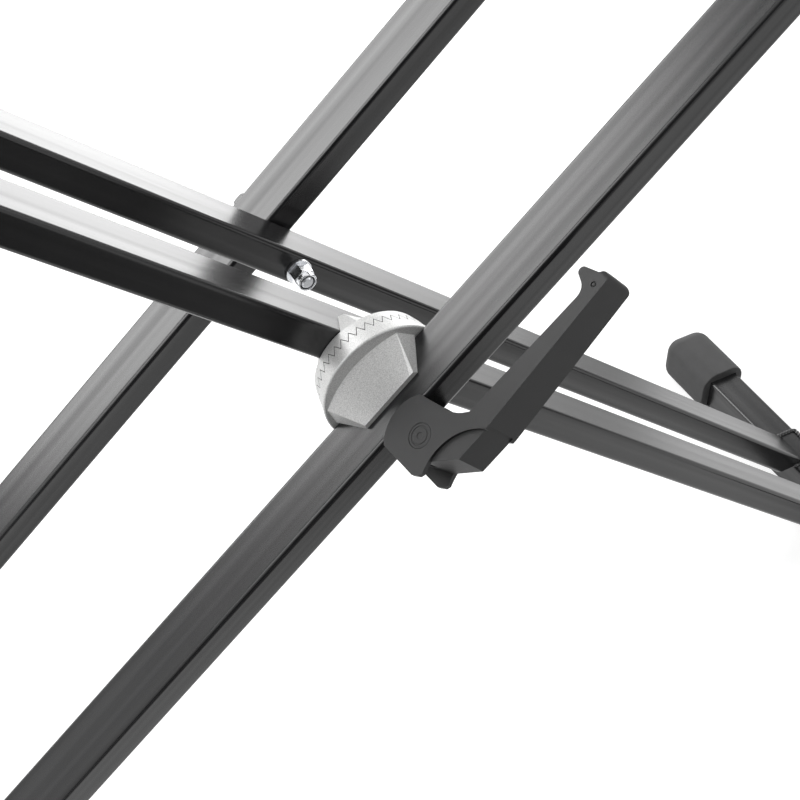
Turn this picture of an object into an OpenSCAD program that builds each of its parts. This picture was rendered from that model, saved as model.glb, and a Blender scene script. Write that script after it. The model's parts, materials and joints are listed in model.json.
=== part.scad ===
// X-shaped stand for mixing and playing gear: two crossed pairs of rectangular
// tube legs on one cross axis, locked by a toothed face clutch behind the front
// leg and opened by a cam lever.
// Millimetres. Z is up, X runs across the X-shape and Y along the cross axis.
// The origin is on the floor, under the middle of the stand.

/* [Legs] */
// Distance from the cross axis to the middle of each cross bar
leg_reach = 660; // [450:5:760]
// Angle of the legs above the floor
leg_angle = 41.7; // [38:0.1:48]
// Depth of the leg tube, along the cross axis
leg_depth = 35.8; // [30:0.1:45]
// Thickness of the leg tube, across the cross axis
leg_thick = 20.8; // [18:0.1:24]
// Wall of the leg tube
leg_wall = 1.5; // [1:0.1:2.2]
// Outer corner radius of the leg tube
leg_corner = 3; // [1.5:0.1:4]

/* [Spacing] */
// Gap between the front outer leg and the front inner leg, filled by the clutch
clutch_gap = 22.3; // [21:0.1:28]
// Distance between the middles of the two inner legs
rail_pitch = 92.4; // [80:0.1:120]
// Gap between the rear inner leg and the rear outer leg
rear_gap = 2.2; // [1:0.1:4]

/* [Cross bars] */
// Length of every cross bar
bar_length = 448; // [380:2:600]
// Height and width of the square cross bars
bar_size = 30; // [26:0.5:34]
// Wall of the cross bars
bar_wall = 1.5; // [1:0.1:2.5]
// Outer corner radius of the cross bars
bar_corner = 3; // [2.6:0.1:5]

/* [Rubber parts] */
// Height and width of the rubber foot caps
foot_size = 46; // [40:0.5:54]
// Length of the foot caps and the top caps
cap_length = 62; // [40:1:80]
// Corner radius of the foot caps
foot_corner = 12; // [8:0.5:16]
// Depth of the grooves across a foot cap's sole
sole_groove = 1.6; // [0.8:0.1:2.5]
// Rounding of a cap's closed end
cap_round = 6; // [3:0.5:8]
// Thickness of a cap's closed end
cap_end = 4; // [2:0.5:8]
// Height and width of the top caps
top_cap_size = 40; // [37:0.5:46]
// Corner radius of the top caps
top_corner = 8; // [4:0.5:10]
// Height of the stop lip above a top cap
lip_height = 14; // [6:1:25]
// Thickness of the stop lip
lip_thick = 9; // [5:0.5:14]
// Thickness of the rubber strip on top of a top bar
strip_top = 5; // [3:0.5:6]
// Thickness of the rubber strip beside a top bar
strip_side = 3.5; // [2:0.5:6]

/* [Clutch] */
// Radius of the drum where it meets the front leg
drum_front_r = 40.8; // [38:0.1:46]
// Radius of the drum where it meets the inner leg
drum_back_r = 35.4; // [35:0.1:40]
// Distance from the drum's front face to the seam
seam_depth = 13; // [12:0.1:15]
// Number of teeth on each clutch half
teeth = 42; // [24:6:72]
// Height of the teeth at the drum's outside
tooth_height = 4.2; // [2:0.1:4.5]
// Inner radius of the ring of teeth
tooth_inner_r = 26; // [20:0.5:30]
// Axial play left between the two sets of teeth, on each half
seam_clear = 0.3; // [0.05:0.01:0.4]
// Rounding of the drum's outer rims
drum_round = 1.2; // [0.5:0.1:2]
// Thickness of the front half's end wall
front_web = 4; // [2.5:0.1:6]
// Thickness of the rear half's end wall
rear_web = 3.6; // [2:0.1:5]
// Radius of the spring pocket
pocket_r = 13.5; // [12:0.1:16]
// Length of a cheek along the leg's side face
cheek_length = 20; // [14:0.5:24]
// Half width of a cheek at the drum, where it meets the leg
cheek_root_half = 34.6; // [32:0.1:35]
// The same on the rear half, whose drum is smaller
rear_root_half = 33.5; // [30:0.1:34]
// Half width of a cheek at its thin edge
cheek_edge_half = 21.6; // [14:0.1:26]
// Offset of the cheeks' middle from the cross axis, down the front outer leg
cheek_offset = 1; // [0:0.1:1.2]
// Thickness of a cheek at its thin edge
cheek_edge = 3.2; // [2:0.1:4.5]

/* [Spring] */
// Wire diameter of the clutch spring
wire_d = 2.2; // [1.4:0.1:2.6]
// Mean radius of the clutch spring
coil_r = 10.6; // [8.5:0.1:11]
// Turns of the clutch spring
coil_turns = 4; // [3:1:5]

/* [Fasteners] */
// Diameter of both pivot bolts
bolt_d = 8; // [6:0.5:9]
// Running clearance round a turning shaft, on the radius
run_clear = 0.06; // [0.02:0.01:0.1]
// Loose clearance round a bolt that only passes through, on the radius
pass_clear = 0.5; // [0.3:0.1:0.9]
// Gap left between faces of parts that move past each other
face_gap = 0.3; // [0.2:0.05:0.5]
// Width across the flats of the rear bolt's head and nut
hex_flats = 13; // [11:0.5:16]
// Height of the rear bolt's head
hex_head_h = 5.3; // [4:0.1:8]
// Height of the rear nut's hexagon
nut_h = 8.5; // [4:0.1:10]
// Height of the locking collar on the nut
collar_h = 3.4; // [1:0.1:4]
// Thread that stands out of the nut
thread_out = 0.5; // [0.2:0.1:4]
// Diameter of the washers
washer_d = 17; // [15:0.5:19]
// Thickness of the washers
washer_t = 1.6; // [1:0.1:2.5]
// Diameter of the pull bolt's round head
round_head_d = 15; // [13:0.5:18]
// Height of the pull bolt's round head
round_head_h = 4; // [2.5:0.1:5]
// Outer diameter of the plastic pivot bushes
bush_d = 12; // [10.5:0.1:14]
// Thickness of the thrust plate under the cam
plate_t = 2; // [1.2:0.1:3]
// Length of the thrust plate along the leg
plate_length = 26; // [20:1:34]
// Width of the thrust plate across the leg
plate_width = 18; // [14:0.5:18]

/* [Lever] */
// Distance from the front leg's face to the lever's cross pin
pin_stand = 18.1; // [17.5:0.1:21]
// Diameter of the cross pin
pin_d = 8; // [6:0.5:9]
// Radius of the lever's cheeks round the cross pin
head_r = 24.4; // [23:0.1:28]
// Reach of the cheeks behind the cross pin, away from the handle
head_back = 18.9; // [18:0.1:22]
// Reach of the cheeks in front of the cross pin, towards the handle
head_front = 22; // [20:0.5:24]
// Reach of the cheeks away from the leg
head_low = 20.2; // [18:0.1:22]
// Width of the lever over its cheeks
lever_width = 28; // [26.5:0.1:32]
// Play between a cheek of the lever and the side of the leg
cheek_play = 0.5; // [0.3:0.1:1]
// Width of the slot for the pull bolt's eye
slot_width = 10.4; // [9:0.1:12]
// Travel of the pull bolt as the lever opens
release = 3; // [1:0.1:3.5]
// Angle through which the lever opens
lever_swing = 100; // [80:1:105]
// Length of the lever from the cross pin to its tip
lever_length = 134; // [110:1:160]
// Width of the handle at its tip
tip_width = 24; // [18:0.5:26]
// Distance of the handle's inner edge from the pin line
handle_inner = 14; // [13:0.5:17]
// Distance of the handle's back from the pin line, at its root
handle_root = 29.6; // [27:0.1:33]
// Distance of the handle's back from the pin line, at its tip
handle_tip = 21; // [20:0.1:25]
// Wall of the moulded handle
handle_wall = 3; // [2:0.1:4]
// Width of the box behind the cheeks
box_width = 24; // [22:0.5:26]
// Thickness of a rib inside the handle
rib_t = 1.8; // [1.2:0.1:2.6]
// Number of ribs inside the handle
ribs = 4; // [2:1:7]
// Step from the handle's back down to the box
box_step = 0.8; // [0.4:0.1:1.5]
// Radius of the small dimple near the hook
dimple_r = 1.7; // [1:0.1:2.5]
// Diameter of the round covers over the cross pin
cover_d = 15; // [11:0.5:17]
// Depth of the round covers
cover_t = 1.2; // [0.8:0.1:1.6]

/* [Hidden] */
$fn = 48;

// How far a cutting shape runs past what it cuts
over = 1;
// Thickness of the slices that a blended shape is stretched between
slice = 0.5;
// Grooves across a foot cap's sole, and the share of their spacing that they take
sole_grooves = 6;
groove_share = 0.35;
// Facets round a shape that is blended or stretched
soft_fn = 28;
// Play between a bush or a bar's cap and what it is pushed into
seat_clear = 0.05;
// Turns of the clutch spring are drawn with this many rings each and this many sides
coil_rings = 16;
wire_sides = 8;

// Places along the cross axis
depth_span = clutch_gap + rear_gap + rail_pitch + 2 * leg_depth;
y_front_outer = -depth_span / 2;
y_rear_outer = depth_span / 2;
y_front_inner = y_front_outer + leg_depth + clutch_gap;
y_rear_inner = y_front_inner + rail_pitch;
y_drum = y_front_outer + leg_depth / 2;
y_seam = y_drum + seam_depth;
back_depth = clutch_gap - seam_depth;
y_pin = y_front_outer - leg_depth / 2 - pin_stand;

// Heights
foot_z = foot_size / 2;
pivot_z = foot_z + leg_reach * sin(leg_angle);
top_z = pivot_z + leg_reach * sin(leg_angle);
bar_x = leg_reach * cos(leg_angle);

// Radii
bolt_r = bolt_d / 2;
pin_r = pin_d / 2;
bush_r = bush_d / 2;
// A hexagon's radius over its corners
hex_r = hex_flats / 2 / cos(30);

// Teeth: crest and root lines all run out from the middle of the seam
quarter_pitch = 360 / teeth / 4;
// The drum is one straight cone over both halves
drum_seam_r = drum_front_r + (drum_back_r - drum_front_r) * seam_depth / clutch_gap;
tooth_slope = tooth_height / 2 / drum_seam_r;
// Share of the full tooth height that the flat crests keep
crest_share = 0.8;
// Ends of a tooth groove, as shares of the tooth ring's inner and the drum's outer radius
groove_inner_share = 0.8;
groove_outer_share = 1.1;
// Steps round a drum's rounded rim
rim_steps = 4;

// Cheek of a clutch half, as shares of the drum's radius at that face
arc_share = 0.945;
crown_share = 0.785;
// Angle of the arched part's ends, seen along the axis
arc_angle = 38;
// Steps along the arch
arc_steps = 14;

// Cam: its radius shrinks evenly over the swing, as the pull bolt moves in
cam_r = pin_stand - plate_t - face_gap;
head_lean = 1.6;
cam_rest = -70;
cam_step = 10;

// Handle outline, from the pin: along the leg, then away from it
handle_root_s = 33;
// The hook's parts: back from the tip, then from the inner edge towards the leg
hook_hollow = [20.5, 8];
hook_nose = [8.7, 8.4];
hook_nose_r = 2.9;
hook_notch = [3.1, 0.6];
dimple_mid = [9.5, -2.5];
dimple_depth = 0.6;
tip_nose = [2.3, -2.2];
tip_nose_r = 2;
tip_r = 3.4;
curve_steps = 6;
// Corner radius of the handle's end, seen from outside
plan_r = 3.6;
box_foot = [-5.2, 15.8];
box_heel_s = 8.3;
neck_s = 30;
cavity_start = 40;
cavity_end = lever_length - hook_hollow[0];
recess_mid = [3.1, 48.3];
recess_r = 33.3;

// Turns a piece into the outer legs' frame, which climbs to the right
module in_outer() translate([0, 0, pivot_z]) rotate([0, -leg_angle, 0]) children();

// Turns a piece into the inner legs' frame, which falls to the right
module in_inner() translate([0, 0, pivot_z]) rotate([0, leg_angle, 0]) children();

// Points the Z axis of a piece along the cross axis, towards the back
module along_y(y) translate([0, y, 0]) rotate([-90, 0, 0]) children();

// Rectangle with true round corners
module rounded_rect(w, h, r) {
    square([w - 2 * r, h], center = true);
    square([w, h - 2 * r], center = true);
    for (x = [-1, 1], y = [-1, 1]) translate([x * (w / 2 - r), y * (h / 2 - r)]) circle(r = r);
}

// Section of a tube; its inner corners stay a little round
module tube_section(w, h, r, wall) {
    difference() {
        rounded_rect(w, h, r);
        rounded_rect(w - 2 * wall, h - 2 * wall, max(r - wall, wall / 4));
    }
}

// Leg tube at one depth, with a cross hole; its ends lie flat on the cross bars
module leg(y, side, hole_r) {
    difference() {
        intersection() {
            translate([0, 0, pivot_z]) rotate([0, -side * leg_angle, 0]) translate([0, y, 0])
                rotate([90, 0, 90]) linear_extrude(height = 3 * leg_reach, center = true)
                    tube_section(leg_depth, leg_thick, leg_corner, leg_wall);
            translate([0, y, pivot_z])
                cube([4 * leg_reach, 2 * leg_depth, top_z - foot_z - bar_size], center = true);
        }
        translate([0, y, pivot_z]) rotate([90, 0, 0])
            cylinder(h = leg_depth + 2 * over, r = hole_r, center = true);
    }
}

// Square cross bar, laid along the cross axis
module cross_bar(x, z) {
    translate([x, 0, z]) rotate([90, 0, 0]) linear_extrude(height = bar_length, center = true)
        tube_section(bar_size, bar_size, bar_corner, bar_wall);
}

// One round corner post of a cap, with its closed end rounded over
module cap_post(r, length) {
    rotate_extrude($fn = soft_fn) union() {
        square([r, length - cap_round]);
        square([r - cap_round, length]);
        translate([r - cap_round, length - cap_round]) intersection() {
            circle(r = cap_round);
            square(cap_round);
        }
    }
}

// Rubber cap over a bar's end, open towards -Z, with its closed end at +Z
module cap(size, corner) {
    full = cap_length + cap_end;
    difference() {
        hull() for (x = [-1, 1], y = [-1, 1])
            translate([x * (size / 2 - corner), y * (size / 2 - corner), 0])
                cap_post(corner, full);
        translate([0, 0, -over]) linear_extrude(height = cap_length + over)
            rounded_rect(bar_size + 2 * seat_clear, bar_size + 2 * seat_clear, bar_corner);
    }
}

// Places a cap on the front (-1) or rear (1) end of a cross bar
module on_bar_end(x, z, end) {
    translate([x, end * (bar_length / 2 - cap_length), z])
        rotate([end > 0 ? -90 : 90, 0, 0]) children();
}

// Foot cap with shallow grooves across its sole
module foot_cap(x, end) {
    step = cap_length / (sole_grooves + 1);
    difference() {
        on_bar_end(x, foot_z, end) cap(foot_size, foot_corner);
        for (i = [1:sole_grooves])
            translate([x, end * (bar_length / 2 - cap_length + i * step), 0])
                cube([2 * foot_size, step * groove_share, 2 * sole_groove], center = true);
    }
}

// Top cap with a lip that stops the gear from sliding off
module top_cap(x, end) {
    lip_w = top_cap_size - 2 * top_corner;
    on_bar_end(x, top_z, end) cap(top_cap_size, top_corner);
    translate([x, end * (bar_length / 2 + cap_end - cap_round - lip_thick / 2), top_z + top_cap_size / 2])
        rotate([90, 0, 0]) linear_extrude(height = lip_thick, center = true) {
            translate([-lip_w / 2, -cap_end]) square([lip_w, lip_height - top_corner + cap_end]);
            translate([0, lip_height - top_corner]) intersection() {
                rounded_rect(lip_w, 2 * top_corner, top_corner - slice);
                translate([-lip_w / 2, 0]) square([lip_w, top_corner]);
            }
        }
}

// Rubber strip over a top bar, from one cap to the other, open underneath
module top_strip(x) {
    strip_w = bar_size + 2 * strip_side;
    strip_h = bar_size / 2 + strip_top;
    strip_r = strip_top;
    length = bar_length - 2 * cap_length - 2 * face_gap;
    translate([x, 0, top_z]) rotate([90, 0, 0]) linear_extrude(height = length, center = true)
        difference() {
            translate([0, strip_h / 2]) {
                translate([0, -strip_r / 2]) square([strip_w, strip_h - strip_r], center = true);
                translate([0, strip_h / 2 - strip_r]) intersection() {
                    rounded_rect(strip_w, 2 * strip_r, strip_r - seat_clear);
                    translate([-strip_w / 2, 0]) square([strip_w, strip_r]);
                }
            }
            rounded_rect(bar_size, bar_size, bar_corner);
        }
}

// One slanted groove between two teeth; its faces all aim at one point on the axis
module tooth_groove() {
    root = [1, 0, -tooth_slope];
    mouth_x = 2 * cos(2 * quarter_pitch) - cos(quarter_pitch);
    mouth_y = 2 * sin(2 * quarter_pitch) - sin(quarter_pitch);
    mouth_z = 2 * tooth_slope;
    section = [root, [mouth_x, mouth_y, mouth_z], [mouth_x, -mouth_y, mouth_z]];
    polyhedron(
        points = concat(
            groove_inner_share * tooth_inner_r * section,
            groove_outer_share * drum_front_r * section
        ),
        faces = [[0, 1, 2], [3, 5, 4], [0, 3, 4, 1], [0, 2, 5, 3], [1, 4, 5, 2]]
    );
}

// Full ring of tooth grooves, turned by a phase
module tooth_grooves(phase) {
    translate([0, 0, -seam_clear]) for (i = [0:teeth - 1])
        rotate(phase + i * 360 / teeth) tooth_groove();
}

// Rounded corner of a drum between its face and its slanted wall
function drum_rim(face_r, depth) = let (
        draft = atan((face_r - drum_seam_r) / depth),
        middle = [face_r - drum_round * (1 + sin(draft)) / cos(draft), -depth + drum_round]
    ) [for (i = [0:rim_steps]) let (a = (90 + draft) * i / rim_steps - 90)
        middle + drum_round * [cos(a), sin(a)]];

// Half profile of a clutch half: seam at z = 0, its face on the leg at z = -depth
module drum_profile(face_r, depth, web, bore) {
    crest = tooth_slope * crest_share;
    crest_r = drum_seam_r / (1 + crest * (face_r - drum_seam_r) / depth);
    pocket_floor = -depth + web;
    hub_floor = -tooth_height;
    polygon(concat(
        [[bore, -depth]],
        drum_rim(face_r, depth),
        [
            [crest_r, crest * crest_r],
            [tooth_inner_r, crest * tooth_inner_r], [tooth_inner_r, hub_floor],
            [pocket_r, hub_floor], [pocket_r, pocket_floor], [bore, pocket_floor]
        ]
    ));
}

// Arched outline of a cheek where it grows out of the drum: the leg's face first
function cheek_arch(face_r, root_half) = let (
        half = face_r * arc_share * cos(arc_angle),
        low = face_r * arc_share * sin(arc_angle),
        rise = face_r * crown_share - low
    ) concat(
        [[-root_half, leg_thick / 2]],
        [for (i = [0:arc_steps]) let (t = 2 * i / arc_steps - 1) [t * half, low + rise * (1 - t * t)]],
        [[root_half, leg_thick / 2]]
    );

// Outline of a cheek's thin edge, with as many points; its sides lean like the arch's
function cheek_end(arch) = let (
        foot = arch[0],
        shoulder = arch[1],
        lean = cheek_edge * (shoulder[0] - foot[0]) / (shoulder[1] - foot[1]),
        half = cheek_edge_half - lean
    ) concat(
        [[-cheek_edge_half, leg_thick / 2]],
        [for (i = [0:arc_steps]) let (t = 2 * i / arc_steps - 1) [t * half, leg_thick / 2 + cheek_edge]],
        [[cheek_edge_half, leg_thick / 2]]
    );

// One cheek of a clutch half: it hugs the leg's side face and thins out along it
module cheek(face_r, root_half) {
    arch = cheek_arch(face_r, root_half);
    end = cheek_end(arch);
    n = len(arch);
    polyhedron(
        points = concat(
            [for (v = arch) [v[0], 2 * slice, v[1]]],
            [for (v = end) [v[0], -cheek_length, v[1]]]
        ),
        faces = concat(
            [[for (i = [n - 1:-1:0]) i], [for (i = [0:n - 1]) n + i], [0, n, 2 * n - 1, n - 1]],
            [for (i = [0:n - 2]) each [[i, i + 1, n + i], [i + 1, n + i + 1, n + i]]]
        )
    );
}

// Both cheeks, on the two side faces of a leg
module cheeks(face_r, root_half) for (flip = [0, 180]) rotate([0, flip, 0]) cheek(face_r, root_half);

// Ring of points of the spring's wire at one angle along the coil
function coil_ring(a, rise) = [
    for (j = [0:wire_sides - 1]) let (
        w = 360 * j / wire_sides,
        r = coil_r + wire_d / 2 * cos(w)
    ) [r * cos(a), r * sin(a), rise + wire_d / 2 * sin(w)]
];

// Round helical coil of wire, from z = 0 up
module coil(length) {
    n = coil_rings * coil_turns;
    climb = length - wire_d;
    pts = [for (i = [0:n]) each coil_ring(360 * i / coil_rings, wire_d / 2 + climb * i / n)];
    sides = [
        for (i = [0:n - 1], j = [0:wire_sides - 1]) let (k = (j + 1) % wire_sides)
            [i * wire_sides + j, i * wire_sides + k, (i + 1) * wire_sides + k, (i + 1) * wire_sides + j]
    ];
    first_end = [for (j = [wire_sides - 1:-1:0]) j];
    last_end = [for (j = [0:wire_sides - 1]) n * wire_sides + j];
    polyhedron(points = pts, faces = concat(sides, [first_end, last_end]));
}

// Drawing frame of the lever: X along the leg, Y away from it, Z along the cross pin
module lever_frame() in_outer() translate([0, y_pin, 0]) mirror([0, 1, 0]) children();

// Radius of the cam at an angle from the direction of the thrust plate
function cam_radius(a) = cam_r - release * max(0, a) / lever_swing;

// Distance of the handle's back from the pin line, at a place along the handle
function back_line(s) = handle_root
    + (handle_tip - handle_root) * (s - handle_root_s) / (lever_length - handle_root_s);

// Points of an arc round a middle, from one angle to another
function arc_points(mid, r, from, to) = [
    for (i = [0:curve_steps]) let (a = from + (to - from) * i / curve_steps) mid + r * [cos(a), sin(a)]
];

// Point of the handle given back from its tip and from its inner edge towards the leg
function from_tip(v) = [lever_length - v[0], handle_inner - v[1]];

// Outline of one cheek of the lever's head
module head_outline() {
    intersection() {
        circle(r = head_r);
        polygon([
            [-head_back - head_lean, -head_r], [head_front * 0.6, -head_r], [head_front, head_r / 5],
            [head_front, head_low], [-head_back / 4, head_low], [-head_back / 2, head_low - head_lean / 2],
            [-head_back * 0.77, head_low - 1.5 * head_lean], [head_lean - head_back, head_low - 4 * head_lean]
        ]);
    }
}

// Side outline of the handle with its hook
module handle_outline() {
    polygon(concat(
        [[0, 0], [head_front, head_r / 5], [head_front + cheek_edge, handle_inner * 0.7],
        [neck_s, handle_inner]],
        arc_points(from_tip(hook_hollow), hook_hollow[1], 90, 25),
        arc_points(from_tip(hook_nose), hook_nose_r, 205, 340),
        [from_tip(hook_notch)],
        arc_points(from_tip(tip_nose), tip_nose_r, 270, 350),
        arc_points([lever_length - tip_r, handle_tip - tip_r], tip_r, 0, 85),
        [[handle_root_s, handle_root], [0, handle_root]]
    ));
}

// Plan outline of the lever, seen from outside, inset by a wall
module lever_plan(inset) {
    hull() {
        translate([-head_back - over, -lever_width / 2 + inset])
            square([head_back + over + handle_root_s, lever_width - 2 * inset]);
        for (side = [-1, 1])
            translate([lever_length - plan_r - inset, side * (tip_width / 2 - plan_r - inset)])
                circle(r = plan_r, $fn = soft_fn);
    }
}

// The two side plates of the lever: head cheeks and the handle's walls in one
module side_plates() {
    difference() {
        linear_extrude(height = lever_width, center = true) difference() {
            union() {
                head_outline();
                handle_outline();
            }
            translate(recess_mid) circle(r = recess_r);
        }
        linear_extrude(height = leg_thick + 2 * cheek_play, center = true)
            translate([-lever_length, -lever_length]) square([lever_length + cavity_start, 2 * lever_length]);
    }
}

// Cam lobes, from one cheek of the lever to the other
module cam_outline() {
    polygon(concat(
        [for (a = [cam_rest:cam_step:lever_swing + 2 * cam_step]) cam_radius(a) * [-sin(a), -cos(a)]],
        [box_foot, [head_front, handle_root - handle_wall], [head_front, head_r / 5]]
    ));
}

// Box behind the cheeks, which carries the handle's back down to the cam
module box_outline() {
    polygon([
        [0, 0], [box_foot[0], box_foot[1] - handle_wall], box_foot, [box_heel_s, handle_root - box_step],
        [handle_root_s, handle_root - box_step], [cavity_start, back_line(cavity_start) - box_step],
        [cavity_start, handle_inner], [neck_s, handle_inner], [head_front, head_r / 5]
    ]);
}

// Slot in which the lever swings round the pull bolt's eye and shank
module eye_slot() {
    linear_extrude(height = slot_width, center = true) {
        circle(r = pin_d + face_gap);
        translate([-head_r - over, -head_r - over])
            square([head_r + over + bolt_r + pass_clear, head_r + over]);
        translate([-head_r - over, -over]) square([head_r + over, over + 2 * bolt_r + 3 * pass_clear]);
    }
}

// Hollow of the handle, open towards the leg
module handle_hollow() {
    intersection() {
        linear_extrude(height = lever_width, center = true) polygon([
            [cavity_start, 0], [cavity_end, 0], [cavity_end, back_line(cavity_end) - handle_wall],
            [cavity_start, back_line(cavity_start) - handle_wall]
        ]);
        translate([0, -lever_length, 0]) rotate([-90, 0, 0])
            linear_extrude(height = 2 * lever_length) lever_plan(handle_wall);
    }
}

// Cross ribs in the handle's hollow
module handle_ribs() {
    step = (cavity_end - cavity_start) / (ribs + 1);
    for (i = [1:ribs]) let (s = cavity_start + i * step)
        translate([s - rib_t / 2, handle_inner + rib_t, -tip_width / 2 + slice])
            cube([rib_t, back_line(s) - handle_inner - 2 * rib_t, tip_width - 2 * slice]);
}

module outer_foot_bar() color("#2a2a2c") cross_bar(-bar_x, foot_z);

module outer_top_bar() color("#2a2a2c") cross_bar(bar_x, top_z);

module inner_foot_bar() color("#2a2a2c") cross_bar(bar_x, foot_z);

module inner_top_bar() color("#2a2a2c") cross_bar(-bar_x, top_z);

module front_outer_leg() color("#2c2c2e") leg(y_front_outer, 1, bolt_r + pass_clear);

module rear_outer_leg() color("#2c2c2e") leg(y_rear_outer, 1, bolt_r + seat_clear);

module front_inner_leg() color("#303032") leg(y_front_inner, -1, bush_r + seat_clear);

module rear_inner_leg() color("#303032") leg(y_rear_inner, -1, bush_r + seat_clear);

// Front half of the clutch: it turns with the outer legs
module front_clutch_half() color("#c9c9c6") union() {
    translate([0, 0, pivot_z]) along_y(y_seam) difference() {
        rotate_extrude() drum_profile(drum_front_r, seam_depth, front_web, bolt_r + pass_clear);
        tooth_grooves(0);
    }
    in_outer() translate([-cheek_offset, y_drum, 0]) cheeks(drum_front_r, cheek_root_half);
}

// Rear half of the clutch: it turns with the inner legs
module rear_clutch_half() color("#c4c4c1") union() {
    translate([0, 0, pivot_z]) along_y(y_seam) mirror([0, 0, 1]) difference() {
        rotate_extrude() drum_profile(drum_back_r, back_depth, rear_web, bolt_r + pass_clear);
        tooth_grooves(2 * quarter_pitch);
    }
    in_inner() translate([0, y_drum + clutch_gap, 0]) mirror([0, 1, 0]) cheeks(drum_back_r, rear_root_half);
}

// Spring that parts the two halves when the lever opens
module clutch_spring() color("#8f9296")
    translate([0, 0, pivot_z]) along_y(y_drum + front_web) coil(clutch_gap - front_web - rear_web - face_gap);

// Steel plate on the front leg, on which the cam bears
module thrust_plate() color("#9a9ca0") in_outer() difference() {
    translate([0, y_front_outer - leg_depth / 2 - plate_t / 2, 0])
        cube([plate_length, plate_t, plate_width], center = true);
    translate([0, y_front_outer - leg_depth / 2 - plate_t / 2, 0]) rotate([90, 0, 0])
        cylinder(h = plate_t + 2 * over, r = bolt_r + pass_clear, center = true);
}

// Bolt that draws the front leg, the clutch and the inner leg together
module pull_bolt() color("#b4b7bb") {
    y_head = y_front_inner + leg_depth / 2 + face_gap + washer_t;
    in_outer() difference() {
        union() {
            along_y(y_pin) cylinder(h = y_head - y_pin + round_head_h / 2, r = bolt_r);
            translate([0, y_pin, 0])
                cylinder(h = slot_width - 2 * face_gap, r = pin_d - face_gap, center = true);
            along_y(y_head) rotate_extrude() intersection() {
                square([round_head_d / 2, round_head_h]);
                translate([0, -round_head_d / 2]) circle(r = round_head_d / 2 + round_head_h);
            }
        }
        translate([0, y_pin, 0]) cylinder(h = slot_width, r = pin_r + seat_clear, center = true);
    }
}

module pull_bolt_washer() color("#a9acb0") translate([0, 0, pivot_z])
    along_y(y_front_inner + leg_depth / 2 + face_gap) difference() {
        cylinder(h = washer_t, r = washer_d / 2);
        translate([0, 0, -over]) cylinder(h = washer_t + 2 * over, r = bolt_r + seat_clear);
    }

module lever_pin() color("#a9acb0") in_outer() translate([0, y_pin, 0])
    cylinder(h = lever_width - 2 * cover_t, r = pin_r, center = true);

// Cam lever: cheeks, cam lobes, box and ribbed handle in one moulding
module lever() color("#3a3b3d") lever_frame() difference() {
    intersection() {
        union() {
            side_plates();
            linear_extrude(height = leg_thick + 2 * cheek_play, center = true) cam_outline();
            linear_extrude(height = box_width, center = true) box_outline();
            difference() {
                linear_extrude(height = lever_width, center = true) intersection() {
                    handle_outline();
                    translate([handle_root_s, -lever_length]) square([lever_length, 2 * lever_length]);
                }
                handle_hollow();
            }
            handle_ribs();
        }
        translate([0, -lever_length, 0]) rotate([-90, 0, 0])
            linear_extrude(height = 2 * lever_length) lever_plan(0);
    }
    eye_slot();
    cylinder(h = lever_width + 2 * over, r = pin_r + run_clear, center = true);
    for (flip = [0, 1]) mirror([0, 0, flip]) {
        translate([0, 0, lever_width / 2 - cover_t]) cylinder(h = cover_t + over, r = cover_d / 2);
        translate([from_tip(dimple_mid)[0], from_tip(dimple_mid)[1], tip_width / 2 - dimple_depth])
            cylinder(h = lever_width, r = dimple_r);
    }
}

// Plain round covers that close the pin's bore on both sides
module lever_pin_covers() color("#434447") lever_frame()
    for (side = [-1, 1]) translate([0, 0, side * (lever_width - cover_t) / 2])
        cylinder(h = cover_t, r = cover_d / 2 - seat_clear, center = true);

// Plastic bush in an inner leg, in which a pivot bolt turns
module pivot_bush(y) translate([0, 0, pivot_z]) along_y(y - leg_depth / 2) difference() {
    cylinder(h = leg_depth, r = bush_r);
    translate([0, 0, -over]) cylinder(h = leg_depth + 2 * over, r = bolt_r + run_clear);
}

module front_pivot_bush() color("#e6e4da") pivot_bush(y_front_inner);

module rear_pivot_bush() color("#e6e4da") pivot_bush(y_rear_inner);

// Rear pivot bolt: its hexagon head lies on the back of the rear outer leg
module rear_pivot_bolt() color("#55575a") {
    y_tip = y_rear_inner - leg_depth / 2 - face_gap - washer_t - nut_h - collar_h - thread_out;
    y_seat = y_rear_outer + leg_depth / 2;
    in_outer() {
        along_y(y_tip) cylinder(h = y_seat - y_tip + hex_head_h / 2, r = bolt_r);
        along_y(y_seat) cylinder(h = hex_head_h, r = hex_r, $fn = 6);
    }
}

// Lock nut on the front of the rear inner leg
module rear_pivot_nut() color("#d5d7da") in_outer()
    translate([0, y_rear_inner - leg_depth / 2 - face_gap - washer_t, 0]) rotate([90, 0, 0])
        difference() {
            union() {
                cylinder(h = nut_h, r = hex_r, $fn = 6);
                cylinder(h = nut_h + collar_h, r = hex_flats / 2 - seat_clear);
            }
            translate([0, 0, -over]) cylinder(h = nut_h + collar_h + 2 * over, r = bolt_r + seat_clear);
        }

module rear_washer(y, thick) translate([0, 0, pivot_z]) along_y(y) difference() {
    cylinder(h = thick, r = washer_d / 2);
    translate([0, 0, -over]) cylinder(h = thick + 2 * over, r = bolt_r + seat_clear);
}

module rear_pivot_washer() color("#3a3b3d")
    rear_washer(y_rear_inner - leg_depth / 2 - face_gap - washer_t, washer_t);

module rear_pivot_spacer() color("#3c3d40")
    rear_washer(y_rear_inner + leg_depth / 2 + face_gap, rear_gap - face_gap);

module outer_top_strip() color("#1f1f20") top_strip(bar_x);

module inner_top_strip() color("#1f1f20") top_strip(-bar_x);

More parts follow.
